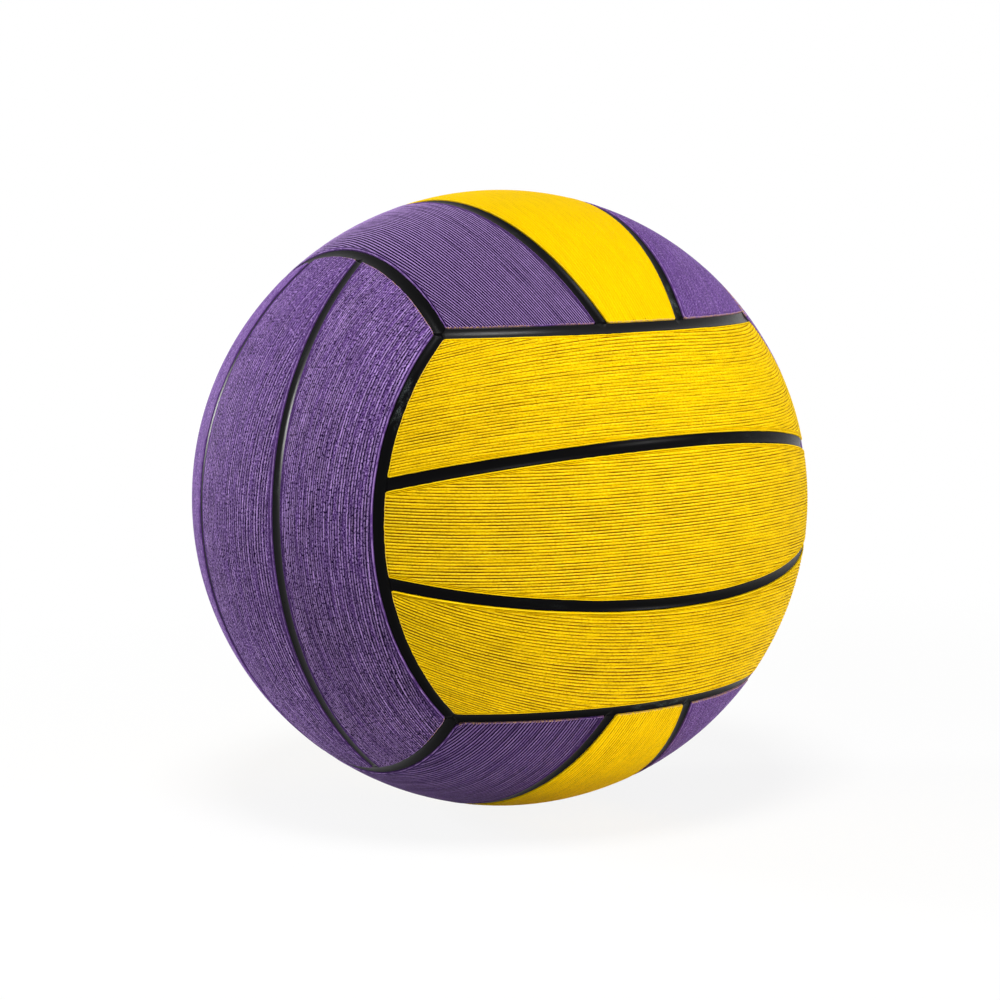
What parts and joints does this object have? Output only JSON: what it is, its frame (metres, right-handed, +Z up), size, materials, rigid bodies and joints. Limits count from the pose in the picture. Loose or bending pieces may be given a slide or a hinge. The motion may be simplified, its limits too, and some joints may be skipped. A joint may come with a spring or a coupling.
{
  "type": "water polo ball",
  "caption": "Small water polo ball: ribbed yellow and purple rubber panels in threes on six faces, black channels between them, air bladder with needle valve.",
  "frame": {"origin": "the ball's centre", "axes": "+Z up through the middle of the top face, -Y out of the front face, +Y out of the valve in the back face, +X to the right as seen from the front"},
  "size_m": [0.188, 0.1879, 0.188],
  "materials": {
    "yellow_rubber": "matt moulded rubber with fine ribs",
    "purple_rubber": "matt moulded rubber with fine ribs",
    "channel_rubber": "smooth half-gloss black rubber",
    "carcass_rubber": "matt calendered rubber",
    "nylon_thread": "wound nylon thread in cement",
    "butyl_rubber": "smooth butyl rubber",
    "valve_rubber": "smooth soft rubber"
  },
  "bodies": {
    "root": {"front_lower_panel": "yellow_rubber", "front_middle_panel": "yellow_rubber", "front_upper_panel": "yellow_rubber", "back_lower_panel": "yellow_rubber", "back_middle_panel": "yellow_rubber", "back_upper_panel": "yellow_rubber", "left_fore_panel": "purple_rubber", "left_middle_panel": "purple_rubber", "left_rear_panel": "purple_rubber", "right_fore_panel": "purple_rubber", "right_middle_panel": "purple_rubber", "right_rear_panel": "purple_rubber", "top_left_panel": "purple_rubber", "top_middle_panel": "yellow_rubber", "top_right_panel": "purple_rubber", "bottom_left_panel": "purple_rubber", "bottom_middle_panel": "yellow_rubber", "bottom_right_panel": "purple_rubber", "front_lower_seam_strip": "channel_rubber", "front_upper_seam_strip": "channel_rubber", "back_lower_seam_strip": "channel_rubber", "back_upper_seam_strip": "channel_rubber", "left_fore_seam_strip": "channel_rubber", "left_rear_seam_strip": "channel_rubber", "right_fore_seam_strip": "channel_rubber", "right_rear_seam_strip": "channel_rubber", "top_left_seam_strip": "channel_rubber", "top_right_seam_strip": "channel_rubber", "bottom_left_seam_strip": "channel_rubber", "bottom_right_seam_strip": "channel_rubber", "front_lower_border_strip": "channel_rubber", "front_upper_border_strip": "channel_rubber", "back_lower_border_strip": "channel_rubber", "back_upper_border_strip": "channel_rubber", "left_fore_border_strip": "channel_rubber", "left_rear_border_strip": "channel_rubber", "right_fore_border_strip": "channel_rubber", "right_rear_border_strip": "channel_rubber", "top_left_border_strip": "channel_rubber", "top_right_border_strip": "channel_rubber", "bottom_left_border_strip": "channel_rubber", "bottom_right_border_strip": "channel_rubber", "carcass": "carcass_rubber", "winding": "nylon_thread", "bladder": "butyl_rubber", "valve_boot": "valve_rubber", "valve_core": "valve_rubber"}
  },
  "joints": []
}
